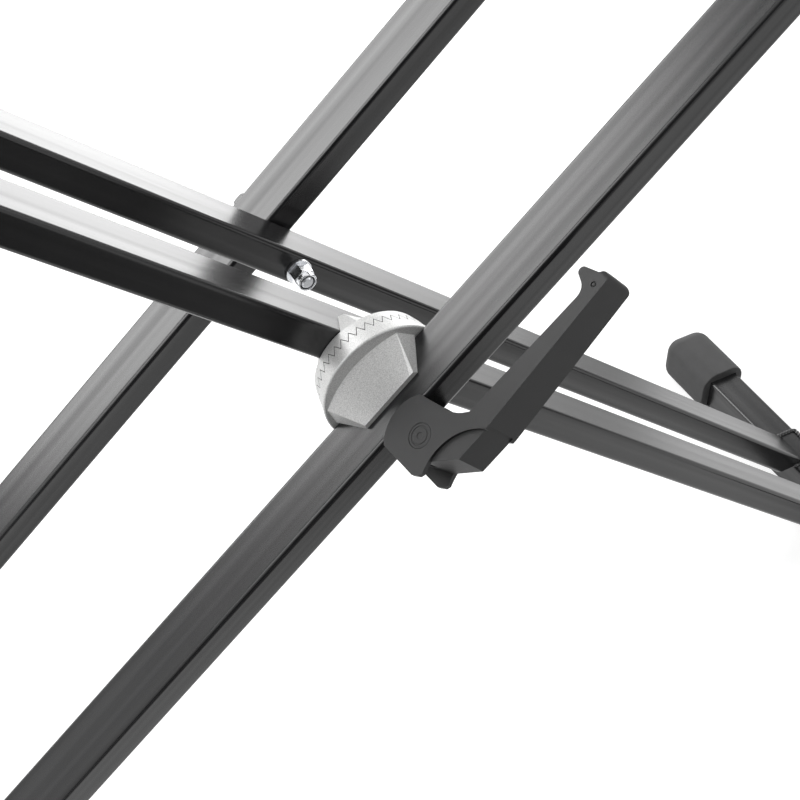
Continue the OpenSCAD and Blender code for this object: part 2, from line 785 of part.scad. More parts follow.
front_outer_leg();
rear_outer_leg();
outer_foot_bar();
outer_top_bar();
color("#222223") foot_cap(-bar_x, -1);  // outer_front_foot_cap
color("#222223") foot_cap(-bar_x, 1);  // outer_rear_foot_cap
color("#222223") top_cap(bar_x, -1);  // outer_front_top_cap
color("#222223") top_cap(bar_x, 1);  // outer_rear_top_cap
outer_top_strip();
front_inner_leg();
rear_inner_leg();
inner_foot_bar();
inner_top_bar();
color("#222223") foot_cap(bar_x, -1);  // inner_front_foot_cap
color("#222223") foot_cap(bar_x, 1);  // inner_rear_foot_cap
color("#222223") top_cap(-bar_x, -1);  // inner_front_top_cap
color("#222223") top_cap(-bar_x, 1);  // inner_rear_top_cap
inner_top_strip();
front_clutch_half();
rear_clutch_half();
clutch_spring();
thrust_plate();
pull_bolt();
pull_bolt_washer();
lever_pin();
lever();
lever_pin_covers();
front_pivot_bush();
rear_pivot_bush();
rear_pivot_bolt();
rear_pivot_nut();
rear_pivot_washer();
rear_pivot_spacer();
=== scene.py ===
# %% [markdown]
# # Dressing an X-shaped stand
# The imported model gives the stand's real pieces: two crossed pairs of tube
# legs, a toothed clutch, a cam lever, bars, caps and fasteners. They are hard
# forms with true sizes, so this lesson leaves their places alone. It adds
# what a photograph shows and a plain solid lacks: soft edges, finishes, small
# hardware and light. Everything is in metres. The plain materials that come
# with the solids are dropped, since every piece gets a finish made here.

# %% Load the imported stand
import json
import math

import bmesh
import bpy
from mathutils import Matrix, Vector


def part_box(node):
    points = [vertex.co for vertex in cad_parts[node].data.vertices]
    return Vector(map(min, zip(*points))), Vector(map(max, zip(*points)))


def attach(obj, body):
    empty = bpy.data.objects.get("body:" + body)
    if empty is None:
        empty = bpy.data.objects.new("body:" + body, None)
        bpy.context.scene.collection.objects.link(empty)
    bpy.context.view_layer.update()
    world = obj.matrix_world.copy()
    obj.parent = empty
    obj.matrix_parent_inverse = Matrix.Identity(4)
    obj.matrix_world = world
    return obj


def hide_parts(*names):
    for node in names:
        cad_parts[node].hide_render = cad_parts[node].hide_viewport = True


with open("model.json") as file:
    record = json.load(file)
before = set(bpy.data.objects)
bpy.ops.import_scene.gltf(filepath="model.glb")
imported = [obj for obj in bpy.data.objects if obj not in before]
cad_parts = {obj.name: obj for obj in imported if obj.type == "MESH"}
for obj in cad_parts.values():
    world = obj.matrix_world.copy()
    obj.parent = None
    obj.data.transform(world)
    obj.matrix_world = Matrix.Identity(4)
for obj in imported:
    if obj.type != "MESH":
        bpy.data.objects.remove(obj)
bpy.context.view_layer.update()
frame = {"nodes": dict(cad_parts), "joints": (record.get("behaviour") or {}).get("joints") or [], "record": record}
nodes = frame["nodes"]
MM = 0.001
for plain in list(bpy.data.materials):
    bpy.data.materials.remove(plain)
print("pieces in the frame:", len(nodes))

# %% [markdown]
# The pieces of the clutch lie round one cross axis. Its height, and the
# direction in which each pair of legs climbs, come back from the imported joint,
# so a later change of the legs' angle moves every added piece with them. The
# lever is on the outer side of the front leg, towards the photographer.

# %% Read the axis and the leg directions
joints = {j["name"]: j for j in frame["joints"]}
pivot = Vector(joints["fold"]["pos_m"])
lever_pin = Vector(joints["lever_swing"]["pos_m"])
pin_axis = Vector(joints["lever_swing"]["axis"]).normalized()
outer_along = Vector((-pin_axis.z, 0, pin_axis.x))
outward = Vector((0, -1, 0))
leg_angle = math.atan2(outer_along.z, outer_along.x)
print("cross axis at", [round(c, 4) for c in pivot], "leg angle", round(math.degrees(leg_angle), 2))

# %% [markdown]
# Two steps come back all through the lesson. A mesh that was edited as a bmesh
# becomes mesh data, and data becomes an object of the scene. A short helper for
# each keeps the later cells about the stand itself.

# %% Helpers that put things in the scene
def as_data(mesh, name):
    """Turns an edited bmesh into mesh data and frees it."""
    data = bpy.data.meshes.new(name)
    mesh.to_mesh(data)
    mesh.free()
    return data


def place_in_scene(name, data):
    """An object that shows some data, linked to the scene."""
    thing = bpy.data.objects.new(name, data)
    bpy.context.scene.collection.objects.link(thing)
    return thing


# %% [markdown]
# A photograph has one true camera. Its angle was found by fitting straight
# tube edges, so the numbers here are the answer of that fit. The picture's
# middle misses the axis, so the camera is moved sideways and up rather than
# shifted. A lens is as long, compared with its sensor, as the fitted focal
# length is compared with the picture.

# %% Put the camera where the photographer stood
azimuth, elevation = math.radians(-29.01), math.radians(44.57)
distance, focal_px, picture_px = 0.97296, 1619.15, 800
pivot_px = (326.30, 306.37)
sensor_width = 36
towards_camera = Vector((
    math.sin(azimuth) * math.cos(elevation),
    -math.cos(azimuth) * math.cos(elevation),
    math.sin(elevation),
))
view_right = (-towards_camera).cross(Vector((0, 0, 1))).normalized()
view_up = view_right.cross(-towards_camera)
aside = (pivot_px[0] - picture_px / 2) * distance / focal_px
above = (picture_px / 2 - pivot_px[1]) * distance / focal_px
camera_data = bpy.data.cameras.new("camera")
camera_data.sensor_width = sensor_width
camera_data.lens = sensor_width * focal_px / picture_px
camera_data.clip_start = 0.01
camera = place_in_scene("camera", camera_data)
turn = Matrix((view_right, view_up, towards_camera)).transposed().to_4x4()
place = pivot + towards_camera * distance - view_right * aside - view_up * above
camera.matrix_world = Matrix.Translation(place) @ turn
bpy.context.scene.camera = camera
print("camera at", [round(c, 3) for c in place], "lens", round(camera_data.lens, 2))

# %% [markdown]
# Every finish below starts from the same few nodes: Object coordinates, which
# are real metres here, a noise for the grain, a ramp or a range to turn it into
# colour or roughness, and a bump. Short helpers keep those chains readable.
# Numbers that are the same all over a surface are set on the shader itself. A
# noise seldom leaves the middle of its range, so the middle is spread out.

# %% Helpers for building a finish
noise_low, noise_high = 0.3, 0.7


def bare_finish(name):
    """A material with its node tree and its shader."""
    material = bpy.data.materials.new(name)
    material.use_nodes = True
    tree = material.node_tree
    return material, tree, tree.nodes["Principled BSDF"]


def new_finish(name):
    """The same with object coordinates, ready for noises."""
    material, tree, shader = bare_finish(name)
    return material, tree, shader, tree.nodes.new("ShaderNodeTexCoord").outputs["Object"]


def grain(tree, coordinates, scale, detail=3.0, roughness=0.55, stretch=None):
    """A noise of the given number of features a metre, drawn out along an axis."""
    if stretch:
        mapping = tree.nodes.new("ShaderNodeMapping")
        mapping.inputs["Scale"].default_value = stretch
        tree.links.new(coordinates, mapping.inputs["Vector"])
        coordinates = mapping.outputs["Vector"]
    noise = tree.nodes.new("ShaderNodeTexNoise")
    noise.inputs["Scale"].default_value = scale
    noise.inputs["Detail"].default_value = detail
    noise.inputs["Roughness"].default_value = roughness
    tree.links.new(coordinates, noise.inputs["Vector"])
    return noise.outputs["Fac"]


def tint(tree, shader, noise, low, high):
    """Lets a noise drive the shader's colour between two colours."""
    ramp = tree.nodes.new("ShaderNodeValToRGB")
    ramp.color_ramp.elements[0].position = noise_low
    ramp.color_ramp.elements[1].position = noise_high
    ramp.color_ramp.elements[0].color = (*low, 1)
    ramp.color_ramp.elements[1].color = (*high, 1)
    tree.links.new(noise, ramp.inputs["Fac"])
    tree.links.new(ramp.outputs["Color"], shader.inputs["Base Color"])


def vary(tree, shader, socket, noise, low, high):
    """Lets a noise drive one number of the shader between two values."""
    spread = tree.nodes.new("ShaderNodeMapRange")
    spread.inputs["From Min"].default_value = noise_low
    spread.inputs["From Max"].default_value = noise_high
    spread.inputs["To Min"].default_value = low
    spread.inputs["To Max"].default_value = high
    tree.links.new(noise, spread.inputs["Value"])
    tree.links.new(spread.outputs["Result"], shader.inputs[socket])


def raise_surface(tree, shader, *layers):
    """Stacks bumps: each layer is a height value with its depth in metres."""
    below = None
    for height, depth in layers:
        bump = tree.nodes.new("ShaderNodeBump")
        bump.inputs["Strength"].default_value = 1.0
        bump.inputs["Distance"].default_value = depth
        tree.links.new(height, bump.inputs["Height"])
        if below:
            tree.links.new(below, bump.inputs["Normal"])
        below = bump.outputs["Normal"]
    tree.links.new(below, shader.inputs["Normal"])


print("noises are spread out from", noise_low, "to", noise_high)

# %% [markdown]
# ## Powder coat
# The tubes are coated with a black satin powder. Up close it is never flat:
# the melted powder leaves a fine orange peel of about a millimetre and a
# slower unevenness of a few centimetres, which softens each long highlight. The
# tube under it was rolled from strip, and its faces keep soft lengthwise bands
# of more and less gloss and fine draw marks. Four noises make these, the last
# two drawn out along the leg, so each pair of legs has its own copy.

# %% Powder coat of the tubes
def powder(name, turn):
    """Black satin powder coat on a tube whose length the given turn brings onto X."""
    material, tree, shader, where = new_finish(name)
    along = tree.nodes.new("ShaderNodeMapping")
    along.inputs["Rotation"].default_value = turn
    tree.links.new(where, along.inputs["Vector"])
    peel = grain(tree, where, 900, detail=2)
    drift = grain(tree, where, 28, detail=3)
    drawn = grain(tree, along.outputs["Vector"], 210, detail=3, stretch=(0.03, 1, 1))
    rolled = grain(tree, along.outputs["Vector"], 110, detail=2, stretch=(0.01, 1, 1))
    tint(tree, shader, drift, (0.010, 0.010, 0.0105), (0.014, 0.014, 0.0145))
    vary(tree, shader, "Roughness", drawn, 0.23, 0.26)
    vary(tree, shader, "Specular IOR Level", rolled, 0.36, 0.64)
    raise_surface(
        tree, shader, (peel, 0.0025 * MM), (drift, 0.004 * MM), (rolled, 0.008 * MM), (drawn, 0.0015 * MM),
    )
    return material


powder_coat = powder("powder_coat", (0, 0, math.radians(90)))
powder_outer = powder("powder_outer", (0, leg_angle, 0))
powder_inner = powder("powder_inner", (0, -leg_angle, 0))
print("finishes:", powder_coat.name, powder_outer.name, powder_inner.name)

# %% [markdown]
# ## Die-cast silver
# The clutch is cast and sprayed with a silver paint full of tiny flakes. A
# very fine noise varies its colour from flake to flake, a second one gives the
# slightly pebbled skin of the casting.

# %% Die-cast silver of the clutch
die_cast, tree, shader, where = new_finish("die_cast")
flakes = grain(tree, where, 1700, detail=2.5, roughness=0.7)
pebbles = grain(tree, where, 1200, detail=3)
tint(tree, shader, flakes, (0.44, 0.44, 0.437), (0.8, 0.8, 0.792))
vary(tree, shader, "Roughness", pebbles, 0.38, 0.52)
shader.inputs["Metallic"].default_value = 0.25
raise_surface(tree, shader, (pebbles, 0.08 * MM), (flakes, 0.03 * MM))
print("finish:", die_cast.name)

# %% [markdown]
# ## Lever plastic
# Glass-filled nylon comes out of a spark-eroded mould with an even, matte,
# sandy skin. It is charcoal rather than black, and scatters light widely.

# %% Charcoal plastic of the lever
lever_plastic, tree, shader, where = new_finish("lever_plastic")
sand = grain(tree, where, 2400, detail=2)
cloud = grain(tree, where, 70, detail=3)
tint(tree, shader, cloud, (0.014, 0.014, 0.0142), (0.021, 0.021, 0.0213))
vary(tree, shader, "Roughness", cloud, 0.5, 0.58)
shader.inputs["Specular IOR Level"].default_value = 0.36
raise_surface(tree, shader, (sand, 0.07 * MM))
print("finish:", lever_plastic.name)

# %% [markdown]
# ## Rubber
# The caps and strips are soft black rubber. It is duller than the lever and a
# little paler, with a faint bloom of grey in patches and a fine tooth.

# %% Rubber of the caps and strips
cap_rubber, tree, shader, where = new_finish("cap_rubber")
tooth = grain(tree, where, 1700, detail=3)
bloom = grain(tree, where, 45, detail=4)
tint(tree, shader, bloom, (0.042, 0.042, 0.042), (0.066, 0.066, 0.067))
vary(tree, shader, "Roughness", bloom, 0.62, 0.78)
shader.inputs["Specular IOR Level"].default_value = 0.35
raise_surface(tree, shader, (tooth, 0.08 * MM))
print("finish:", cap_rubber.name)

# %% [markdown]
# ## Metals
# Zinc plating is a soft grey mirror with faint drawn-out marks, so its noise is
# stretched along one axis. The lock nut is brighter: nickel-chrome with only a
# trace of waviness.

# %% Plated steel and bright chrome
plated_steel, tree, shader, where = new_finish("plated_steel")
drawn = grain(tree, where, 500, detail=4, stretch=(1, 0.06, 1))
tint(tree, shader, drawn, (0.46, 0.47, 0.49), (0.62, 0.63, 0.65))
vary(tree, shader, "Roughness", drawn, 0.24, 0.38)
shader.inputs["Metallic"].default_value = 1.0
raise_surface(tree, shader, (drawn, 0.01 * MM))

bright_chrome, tree, shader, where = new_finish("bright_chrome")
wave = grain(tree, where, 260, detail=2)
tint(tree, shader, wave, (0.72, 0.73, 0.75), (0.84, 0.85, 0.87))
vary(tree, shader, "Roughness", wave, 0.17, 0.24)
shader.inputs["Metallic"].default_value = 1.0
raise_surface(tree, shader, (wave, 0.03 * MM))
print("finishes:", plated_steel.name, bright_chrome.name)

# %% [markdown]
# ## Plastics of the bearings
# The bushes are natural nylon, off-white and slightly milky, and the thin
# spacer is the same plastic coloured black.

# %% Natural and black nylon
def nylon(name, low, high):
    """Smooth moulded nylon between two close colours."""
    material, tree, shader, where = new_finish(name)
    cloud = grain(tree, where, 220, detail=3)
    tint(tree, shader, cloud, low, high)
    vary(tree, shader, "Roughness", cloud, 0.38, 0.48)
    raise_surface(tree, shader, (cloud, 0.02 * MM))
    return material


white_plastic = nylon("white_plastic", (0.76, 0.74, 0.66), (0.84, 0.82, 0.75))
black_plastic = nylon("black_plastic", (0.018, 0.018, 0.019), (0.028, 0.028, 0.029))
print("finishes:", white_plastic.name, black_plastic.name)

# %% [markdown]
# ## Painted shade in the seam
# A deep, narrow seam like the one between the clutch's teeth is dark from its depth. The faces inside it get that
# as a painted shade: a near-black colour, darker or paler in patches, and a little shinier where it is darker.

# %% Painted shade on the tooth flanks
# This finish is painted shade: a near-black colour for the faces inside the clutch's seam.
painted_seam_shade, tree, shader, where = new_finish("painted_seam_shade")
seam_shade_noise = grain(tree, where, 600, detail=3)
tint(tree, shader, seam_shade_noise, (0.012, 0.012, 0.012), (0.03, 0.029, 0.028))
vary(tree, shader, "Roughness", seam_shade_noise, 0.4, 0.6)
shader.inputs["Specular IOR Level"].default_value = 0.3
raise_surface(tree, shader, (seam_shade_noise, 0.03 * MM))
print("finish:", painted_seam_shade.name)

# %% [markdown]
# The record already says which finish each piece has. Reading it from there
# keeps the two from drifting apart: the slot's name is the finish's name. Only
# the legs differ: theirs is the coat whose draw marks run along them.

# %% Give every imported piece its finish
finishes = {m.name: m for m in (
    powder_coat, die_cast, lever_plastic, cap_rubber,
    plated_steel, bright_chrome, white_plastic, black_plastic,
)}
for part in frame["record"]["subparts"]:
    mesh = nodes[part["node"]].data
    mesh.materials.clear()
    mesh.materials.append(finishes[part["material_slot"]])
for name, coat in (("outer_leg", powder_outer), ("inner_leg", powder_inner)):
    for end in ("front_", "rear_"):
        nodes[end + name].data.materials[0] = coat

# %% [markdown]
# ## Soft edges
# No moulded or cast edge is a knife edge: it has a small round that catches a
# thin line of light, and that line tells the eye how big the thing is. The
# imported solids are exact, so their edges are sharp. A copy of a node's mesh,
# with its loose triangles joined and its flat ones dissolved, takes bmesh's
# bevel on the edges that turn by more than a given angle.

# %% Helpers for soft-edged copies
same_point, same_plane = 0.002 * MM, math.radians(0.5)


def open_copy(node):
    """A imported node's mesh with its triangles joined, ready to be worked on."""
    mesh = bmesh.new()
    mesh.from_mesh(nodes[node].data)
    bmesh.ops.remove_doubles(mesh, verts=mesh.verts, dist=same_point)
    bmesh.ops.dissolve_limit(mesh, angle_limit=same_plane, verts=mesh.verts, edges=mesh.edges)
    return mesh


def turning_edges(mesh, least, wanted=lambda middle: True):
    """Edges where the surface turns by more than some degrees, in a wanted region."""
    return [
        edge for edge in mesh.edges
        if len(edge.link_faces) == 2
        and edge.calc_face_angle(0) > math.radians(least)
        and wanted((edge.verts[0].co + edge.verts[1].co) / 2)
    ]


def soften(mesh, edges, width, segments=2):
    """Rounds edges over by a width in metres."""
    bmesh.ops.bevel(
        mesh, geom=edges, offset=width, offset_type="OFFSET", segments=segments,
        profile=0.5, affect="EDGES", material=-1, clamp_overlap=True,
    )


def show(mesh, name, body, materials, replaced=(), crisp=32):
    """Makes a bmesh a piece of the stand, smooth between its crisp edges."""
    data = as_data(mesh, name)
    for polygon in data.polygons:
        polygon.use_smooth = True
    data.set_sharp_from_angle(angle=math.radians(crisp))
    for material in materials:
        data.materials.append(material)
    piece = place_in_scene(name, data)
    weigh = piece.modifiers.new("weigh_normals", "WEIGHTED_NORMAL")
    weigh.keep_sharp = True
    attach(piece, body)
    if replaced:
        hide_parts(*replaced)
    print(name, "rides on", body, "with", len(data.polygons), "faces")


def soft_copy(node, name, body, finish, turn, width, segments=2):
    """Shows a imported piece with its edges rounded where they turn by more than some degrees."""
    mesh = open_copy(node)
    soften(mesh, turning_edges(mesh, turn), width, segments)
    show(mesh, name, body, [finish], [node])


print("points join within", same_point, "m, faces within", round(math.degrees(same_plane), 2), "degrees")

# %% [markdown]
# ## Lever
# The lever is one thick moulding: two cheeks that straddle the leg, a box and a
# handle with a hook. A mould can't leave a perfectly sharp edge, so every edge
# that turns by more than some forty degrees gets a bevel of half a millimetre,
# which also catches the light along the handle. The gentler turns between the
# facets of a rounded form stay as they are.

# %% Lever with soft edges
lever_turn, lever_round = 38, 0.5 * MM
soft_copy("lever", "cam_lever_moulding", "cam_lever", lever_plastic, lever_turn, lever_round)

# %% [markdown]
# ## Turned pieces
# Buttons, covers, bolts and nuts are round, so each starts as half of its
# profile, drawn in millimetres and spun round Z as on a lathe. It then moves to
# its place with its Z along the axis that the real piece has.

# %% Helpers for turned pieces
def lathe(profile, steps=56):
    """Spins a closed half profile of (radius, height) in millimetres round Z."""
    mesh = bmesh.new()
    points = [mesh.verts.new((radius * MM, 0, height * MM)) for radius, height in profile]
    edges = [mesh.edges.new(pair) for pair in zip(points, points[1:] + points[:1])]
    bmesh.ops.spin(
        mesh, geom=points + edges, axis=(0, 0, 1), cent=(0, 0, 0),
        angle=math.tau, steps=steps, use_merge=True,
    )
    bmesh.ops.remove_doubles(mesh, verts=mesh.verts, dist=same_point)
    bmesh.ops.recalc_face_normals(mesh, faces=mesh.faces)
    return mesh


def stand_at(mesh, origin, along, up):
    """Moves a piece made round Z, with its Z along one direction and X towards another."""
    z_axis = Vector(along).normalized()
    x_axis = (Vector(up) - z_axis * z_axis.dot(Vector(up))).normalized()
    matrix = Matrix((x_axis, z_axis.cross(x_axis), z_axis)).transposed().to_4x4()
    matrix.translation = Vector(origin)
    bmesh.ops.transform(mesh, matrix=matrix, verts=mesh.verts)
    return mesh


def together(meshes):
    """Puts several bmeshes in one."""
    whole = bmesh.new()
    for mesh in meshes:
        part = as_data(mesh, "part")
        whole.from_mesh(part)
        bpy.data.meshes.remove(part)
    return whole


def on_both_sides(profile, steps, middle, half_width):
    """The same turned piece on both sides of the lever, facing out."""
    turned = []
    for side in (1, -1):
        origin = middle + pin_axis * side * half_width * MM
        turned.append(stand_at(lathe(profile, steps), origin, pin_axis * side, outer_along))
    return together(turned)


print("pieces on both sides of the lever face along", [round(c, 3) for c in pin_axis])

# %% [markdown]
# A small round dimple near the hook has a low button in its middle, the mark of
# the pin that pushes the moulding out of its mould. It stands on the dimple's
# floor, two millimetres under the lever's side.

# %% Buttons in the dimples
lever_half, dimple_floor = 14, 12
dimple_along, dimple_out = 124.5, 16.5
button_profile = [(0, -0.7), (1.2, -0.7), (1.15, -0.25), (0.85, -0.05), (0.45, 0.05), (0, 0.08)]
dimple = lever_pin + outer_along * dimple_along * MM + outward * dimple_out * MM
buttons = on_both_sides(button_profile, 20, dimple, dimple_floor)
show(buttons, "mould_buttons", "cam_lever", [lever_plastic])

# %% [markdown]
# ## Clutch halves
# The two halves are zinc castings. Their rims and cheeks have soft edges, and
# their teeth close on each other so finely that only a thin dark zigzag shows.
# The grease on their flanks makes that line, so the faces inside the seam get
# The narrow gap between them darkens that line a little, and a painted shade does the rest: the faces inside the
# seam get a near-black second finish, and so does the tiny bevel along the teeth's outer edges. The teeth of the
# real clutch are a little taller than in the solid, so the toothed ring is stretched along the axis, on both
# halves alike.

# %% Clutch halves with soft edges and painted shade on the flanks
seam_y = (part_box("front_clutch_half")[1].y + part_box("rear_clutch_half")[0].y) / 2
teeth_from, tooth_tips = 25.5 * MM, 36.9 * MM
tooth_reach, tooth_stretch = 3.2 * MM, 1.35
clear_of_teeth = 1.4 * tooth_reach
casting_turn, casting_round, casting_crisp = 24, 0.45 * MM, 28
tooth_turn, tooth_round = 40, 0.16 * MM
rim_share = 0.9


def from_axis(point):
    """Distance of a point from the cross axis."""
    return math.hypot(point.x - pivot.x, point.z - pivot.z)


def in_teeth(point):
    """True for a point of the toothed ring."""
    return from_axis(point) > teeth_from and abs(point.y - seam_y) < tooth_reach


def clutch_half(node, name, body):
    """A soft-edged copy of one clutch half, with painted shade on its tooth flanks."""
    mesh = open_copy(node)
    bmesh.ops.scale(
        mesh, vec=(1, tooth_stretch, 1), space=Matrix.Translation((0, -seam_y, 0)),
        verts=[vert for vert in mesh.verts if in_teeth(vert.co)],
    )
    casting = turning_edges(mesh, casting_turn, lambda at: abs(at.y - seam_y) > clear_of_teeth)
    soften(mesh, casting, casting_round)
    teeth = turning_edges(mesh, tooth_turn, lambda at: in_teeth(at) and from_axis(at) > tooth_tips)
    soften(mesh, teeth, tooth_round, 1)
    # Painted shade: faces of the toothed ring that don't face out, the tooth bevels among them, get the near-black
    # second finish.
    for face in mesh.faces:
        faces_out = math.hypot(face.normal.x, face.normal.z) >= rim_share
        face.material_index = int(in_teeth(face.calc_center_median()) and not faces_out)
    show(mesh, name, body, [die_cast, painted_seam_shade], [node], crisp=casting_crisp)


clutch_half("front_clutch_half", "clutch_front_casting", "outer_frame")
clutch_half("rear_clutch_half", "clutch_rear_casting", "inner_frame")

# %% [markdown]
# ## Hexagon pieces
# A nut or a bolt's head starts as a hexagon bar that a lathe then cuts to a
# cone at its ends. Taking what the bar and the turned shape have in common
# gives the true arcs on its flats. The bar is drawn a little too long, so that
# the turned shape alone decides where the piece ends.

# %% Boolean and hexagon helpers
flats, spare = 13, 1
flats_crisp = 25


def combine(mesh, other, operation):
    """Cuts one closed mesh by another or keeps what they share, as a boolean modifier does."""
    tools = [place_in_scene("tool", as_data(part, "tool")) for part in (mesh, other)]
    cut = tools[0].modifiers.new("cut", "BOOLEAN")
    cut.operation, cut.solver, cut.object = operation, "EXACT", tools[1]
    result = bmesh.new()
    result.from_object(tools[0], bpy.context.evaluated_depsgraph_get())
    for tool in tools:
        data = tool.data
        bpy.data.objects.remove(tool)
        bpy.data.meshes.remove(data)
    return result


def cut_from_hexagon(profile, length):
    """What a turned profile, in millimetres, leaves of a hexagon bar round Z."""
    low, high = -spare, length + spare
    corner = flats / 2 / math.cos(math.pi / 6) * MM
    bar = bmesh.new()
    bmesh.ops.create_cone(
        bar, cap_ends=True, segments=6, depth=(high - low) * MM, radius1=corner, radius2=corner,
    )
    bmesh.ops.rotate(bar, matrix=Matrix.Rotation(math.pi / 6, 3, "Z"), verts=bar.verts)
    bmesh.ops.translate(bar, vec=(0, 0, (low + high) / 2 * MM), verts=bar.verts)
    return combine(lathe(profile), bar, "INTERSECT")


print("hexagons are", flats, "mm across their flats")

# %% [markdown]
# ## Rear lock nut and bolt
# The rear pair of legs turns on one bolt. Its nut is a tall lock nut: a
# chromed hexagon, a collar with a rolled rim, and inside the rim a dark ring
# that grips the thread. The bolt's chamfered end just fills that ring. The
# rolled rim is easiest to draw by how deep each point lies under the nut's end.

# %% Lock nut with its collar
corners, bearing_face, collar, bore = 7.7, 6.3, 6.4, 4.05
collar_height, ring_edge, ring_from = 3.4, 4.87, 1
nut_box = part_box("rear_pivot_nut")
nut_length = (nut_box[1].y - nut_box[0].y) / MM
shoulder = nut_length - collar_height
rolled_rim = [
    (collar, 0.9), (6.25, 0.4), (5.9, 0.1), (5.5, 0), (5.1, 0.15), (4.9, 0.5), (4.85, 1.2), (bore, 1.3),
]
nut_profile = [(bore, 0), (bearing_face, 0), (corners, 0.8), (corners, shoulder - 0.75), (collar, shoulder)]
nut_profile += [(radius, nut_length - depth) for radius, depth in rolled_rim]
nut_mesh = cut_from_hexagon(nut_profile, nut_length)
for face in nut_mesh.faces:
    middle = face.calc_center_median()
    in_rim = math.hypot(middle.x, middle.y) < ring_edge * MM
    face.material_index = int(in_rim and middle.z > ring_from * MM)
stand_at(nut_mesh, (pivot.x, nut_box[1].y, pivot.z), outward, outer_along)
show(
    nut_mesh, "rear_lock_nut", "outer_frame", [bright_chrome, black_plastic],
    ["rear_pivot_nut"], crisp=flats_crisp,
)

# %% [markdown]
# The bolt's own head is on the far side, black like the leg it bears on, with
# two flats along the leg. Only its upper flat shows past the leg's far edge.
# The shank behind the head is plain plated steel.

# %% Bolt with its head and chamfered end
shank, chamfer, head_height = 3.96, 0.85, 5.3
bolt_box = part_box("rear_pivot_bolt")
bolt_length = (bolt_box[1].y - bolt_box[0].y) / MM
under_head = bolt_length - head_height
bolt_mesh = cut_from_hexagon([
    (0, 0), (3.1, 0), (shank, chamfer), (shank, under_head), (bearing_face, under_head),
    (corners, under_head + 0.3), (corners, bolt_length - 0.8), (6.2, bolt_length - 0.1),
    (5.9, bolt_length), (0, bolt_length),
], bolt_length)
for face in bolt_mesh.faces:
    face.material_index = int(face.calc_center_median().z < (under_head - 0.1) * MM)
stand_at(bolt_mesh, (pivot.x, bolt_box[0].y, pivot.z), -outward, outer_along)
show(
    bolt_mesh, "rear_hexagon_bolt", "outer_frame", [powder_outer, plated_steel],
    ["rear_pivot_bolt"], crisp=flats_crisp,
)

# %% [markdown]
# ## Covers over the cross pin
# A moulded disc closes the pin's bore on each side of the lever. Here it is
# quite plain: one shallow ring groove and a small dish in the middle, turned
# like everything round on the stand.

# %% Two pin covers
cover_rim, cover_back = 7.45, -1.15
cover_profile = [(0, cover_back), (cover_rim - 0.6, cover_back), (cover_rim, -0.6), (cover_rim, -0.35)]
cover_profile += [(cover_rim - 0.3, -0.06), (5.9, 0), (5.6, -0.3), (4.9, -0.3), (4.6, 0)]
cover_profile += [(2.1, 0), (1.7, -0.35), (0, -0.4)]
covers = on_both_sides(cover_profile, 40, lever_pin, lever_half)
show(covers, "pin_covers", "cam_lever", [lever_plastic], ["lever_pin_covers"])

# %% [markdown]
# ## Rubber feet and end caps
# A foot is a thick rubber boot pushed over the end of a bar. It is moulded
# round: generous corners along the bar, a full round at the closed end, a small
# one at the mouth, and grooves across the sole. A block with three bevels makes
# it, and one cut with a comb of blocks makes the grooves and the hollow.

# %% Rubber feet
length_round, end_round, mouth_round = (15 * MM, 9), (13 * MM, 8), (1.2 * MM, 2)
hollow_side, hollow_depth = 30.1, 62
groove_count, groove_width, groove_depth, groove_span = 6, 2.6, 1.6, 60


def rubber_foot(node, name, body):
    """A round-cornered boot over a bar's end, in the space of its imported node."""
    low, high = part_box(node)
    size, middle = high - low, (low + high) / 2
    away = 1 if middle.y > 0 else -1
    mesh = bmesh.new()
    bmesh.ops.create_cube(mesh, size=1)
    bmesh.ops.scale(mesh, vec=size, verts=mesh.verts)
    bmesh.ops.translate(mesh, vec=middle, verts=mesh.verts)
    lengthwise = [edge for edge in mesh.edges if abs(edge.verts[0].co.y - edge.verts[1].co.y) > size.y / 2]
    soften(mesh, lengthwise, *length_round)
    closed_end = max(mesh.faces, key=lambda face: face.calc_center_median().y * away)
    soften(mesh, closed_end.edges[:], *end_round)
    open_end = min(mesh.faces, key=lambda face: face.calc_center_median().y * away)
    soften(mesh, open_end.edges[:], *mouth_round)
    mouth = low.y if away > 0 else high.y
    comb = bmesh.new()
    hollow = Matrix.Translation((middle.x, mouth + away * (hollow_depth - spare) / 2 * MM, middle.z))
    hollow @= Matrix.Diagonal((hollow_side * MM, (hollow_depth + spare) * MM, hollow_side * MM, 1))
    bmesh.ops.create_cube(comb, size=1, matrix=hollow)
    for number in range(1, groove_count + 1):
        at = mouth + away * number * hollow_depth / (groove_count + 1) * MM
        groove = Matrix.Translation((middle.x, at, low.z))
        groove @= Matrix.Diagonal((groove_span * MM, groove_width * MM, 2 * groove_depth * MM, 1))
        bmesh.ops.create_cube(comb, size=1, matrix=groove)
    show(combine(mesh, comb, "DIFFERENCE"), name, body, [cap_rubber], [node])


for pair in ("outer", "inner"):
    for end_name in ("front", "rear"):
        rubber_foot(f"{pair}_{end_name}_foot_cap", f"{pair}_{end_name}_boot", f"{pair}_frame")

# %% [markdown]
# The caps on the two upper bars have a lip against which the gear stops, and a
# rubber strip lies between them. They have the right form already, so they
# only need their edges softened, and more so than hard plastic.

# %% Upper caps and strips with soft edges
rubber_turn, cap_round, strip_round = 40, 1.2 * MM, 0.8 * MM
for pair in ("outer", "inner"):
    body = f"{pair}_frame"
    for end_name in ("front", "rear"):
        cap = f"{pair}_{end_name}_stop_cap"
        soft_copy(f"{pair}_{end_name}_top_cap", cap, body, cap_rubber, rubber_turn, cap_round, 3)
    soft_copy(f"{pair}_top_strip", f"{pair}_soft_strip", body, cap_rubber, rubber_turn, strip_round)

